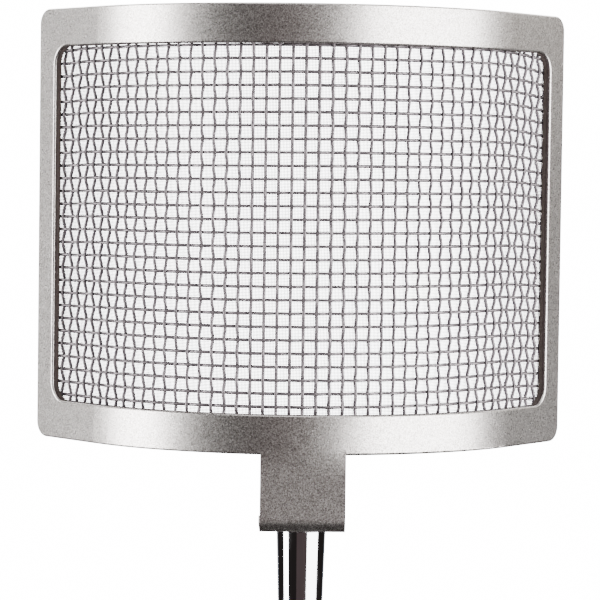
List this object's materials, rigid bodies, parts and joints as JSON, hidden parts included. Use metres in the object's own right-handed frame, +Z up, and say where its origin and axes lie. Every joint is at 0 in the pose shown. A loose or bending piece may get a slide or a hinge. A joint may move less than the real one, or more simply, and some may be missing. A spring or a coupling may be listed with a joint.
{
  "type": "microphone pop filter",
  "caption": "Curved woven-wire pop filter on a bending gooseneck, with a screw clamp that grips a microphone stand's tube.",
  "frame": {"origin": "on the axis of the stand tube that the clamp grips, at the clamp's mid height", "axes": "+Z up along the gooseneck and the stand tube, -Y the way the filter's convex face looks (towards the speaker), +Y towards the microphone and the clamp's knob, +X the spine's side of the clamp"},
  "size_m": [0.1454, 0.104, 0.5344],
  "materials": {
    "bezel_paint": "satin champagne-silver powder coat with a fine sand texture and metallic flake",
    "cloth_wire": "dark grey-brown plain-woven wire cloth",
    "fine_screen": "fine pale woven screen, half open",
    "black_steel": "blackened steel screws",
    "chrome": "bright chrome plate",
    "zinc_steel": "zinc-plated steel",
    "nylon": "natural nylon",
    "clamp_paint": "black powder coat on a casting",
    "brass": "turned brass",
    "gasket_foam": "dark brown dense foam, flat and dull",
    "rubber": "black moulded rubber",
    "knob_plastic": "black moulded nylon with a light grain",
    "cap_plastic": "smooth black press-in cap"
  },
  "bodies": {
    "clamp": {"clamp_body": "clamp_paint", "saddle_liner": "rubber", "lower_ferrule": "chrome", "ferrule_stud": "zinc_steel", "stud_nut": "zinc_steel", "screw_bush": "brass", "gooseneck_foot": "chrome"},
    "gooseneck_1": {"gooseneck_link_1": "chrome"},
    "gooseneck_2": {"gooseneck_link_2": "chrome"},
    "gooseneck_3": {"gooseneck_link_3": "chrome"},
    "gooseneck_4": {"gooseneck_link_4": "chrome"},
    "gooseneck_5": {"gooseneck_link_5": "chrome"},
    "gooseneck_6": {"gooseneck_link_6": "chrome"},
    "gooseneck_7": {"gooseneck_link_7": "chrome"},
    "gooseneck_head_end": {"gooseneck_top": "chrome", "upper_ferrule": "chrome", "friction_washer": "nylon", "spring_washer": "zinc_steel", "head_screw": "black_steel"},
    "filter_head": {"front_bezel": "bezel_paint", "bezel_gasket": "gasket_foam", "rear_bezel": "bezel_paint", "outer_mesh": "cloth_wire", "inner_screen": "fine_screen", "bezel_screws": "black_steel"},
    "pressure_pad": {"pressure_pad": "zinc_steel", "pad_rubber": "rubber"},
    "screw_and_knob": {"clamp_screw": "zinc_steel", "knob": "knob_plastic", "knob_cap": "cap_plastic"}
  },
  "joints": [
    {"name": "neck_bend_1", "type": "hinge", "parent": "clamp", "child": "gooseneck_1", "pos_m": [0, -0.03, 0.05875], "axis": [1, 0, 0], "range_deg": [-30, 30]},
    {"name": "neck_bend_2", "type": "hinge", "parent": "gooseneck_1", "child": "gooseneck_2", "pos_m": [0, -0.03, 0.09625], "axis": [0, 1, 0], "range_deg": [-30, 30]},
    {"name": "neck_bend_3", "type": "hinge", "parent": "gooseneck_2", "child": "gooseneck_3", "pos_m": [0, -0.03, 0.13375], "axis": [1, 0, 0], "range_deg": [-30, 30]},
    {"name": "neck_bend_4", "type": "hinge", "parent": "gooseneck_3", "child": "gooseneck_4", "pos_m": [0, -0.03, 0.17125], "axis": [0, 1, 0], "range_deg": [-30, 30]},
    {"name": "neck_bend_5", "type": "hinge", "parent": "gooseneck_4", "child": "gooseneck_5", "pos_m": [0, -0.03, 0.20875], "axis": [1, 0, 0], "range_deg": [-30, 30]},
    {"name": "neck_bend_6", "type": "hinge", "parent": "gooseneck_5", "child": "gooseneck_6", "pos_m": [0, -0.03, 0.24625], "axis": [0, 1, 0], "range_deg": [-30, 30]},
    {"name": "neck_bend_7", "type": "hinge", "parent": "gooseneck_6", "child": "gooseneck_7", "pos_m": [0, -0.03, 0.28375], "axis": [1, 0, 0], "range_deg": [-30, 30]},
    {"name": "neck_bend_8", "type": "hinge", "parent": "gooseneck_7", "child": "gooseneck_head_end", "pos_m": [0, -0.03, 0.32125], "axis": [0, 1, 0], "range_deg": [-30, 30]},
    {"name": "head_swivel", "type": "hinge", "parent": "gooseneck_head_end", "child": "filter_head", "pos_m": [0, -0.03, 0.3808], "axis": [0, 0, 1], "range_deg": [-90, 90]},
    {"name": "pad_slide", "type": "slide", "parent": "clamp", "child": "pressure_pad", "axis": [0, 1, 0], "range_m": [-0.006, 0.008]},
    {"name": "screw_turn", "type": "hinge", "parent": "pressure_pad", "child": "screw_and_knob", "pos_m": [0, 0.0159, 0], "axis": [0, 1, 0], "range_deg": [-1730, 2306]}
  ],
  "couplings": [
    {"joint": "screw_turn", "follows": "pad_slide", "rad_per_m": 5026.6}
  ]
}
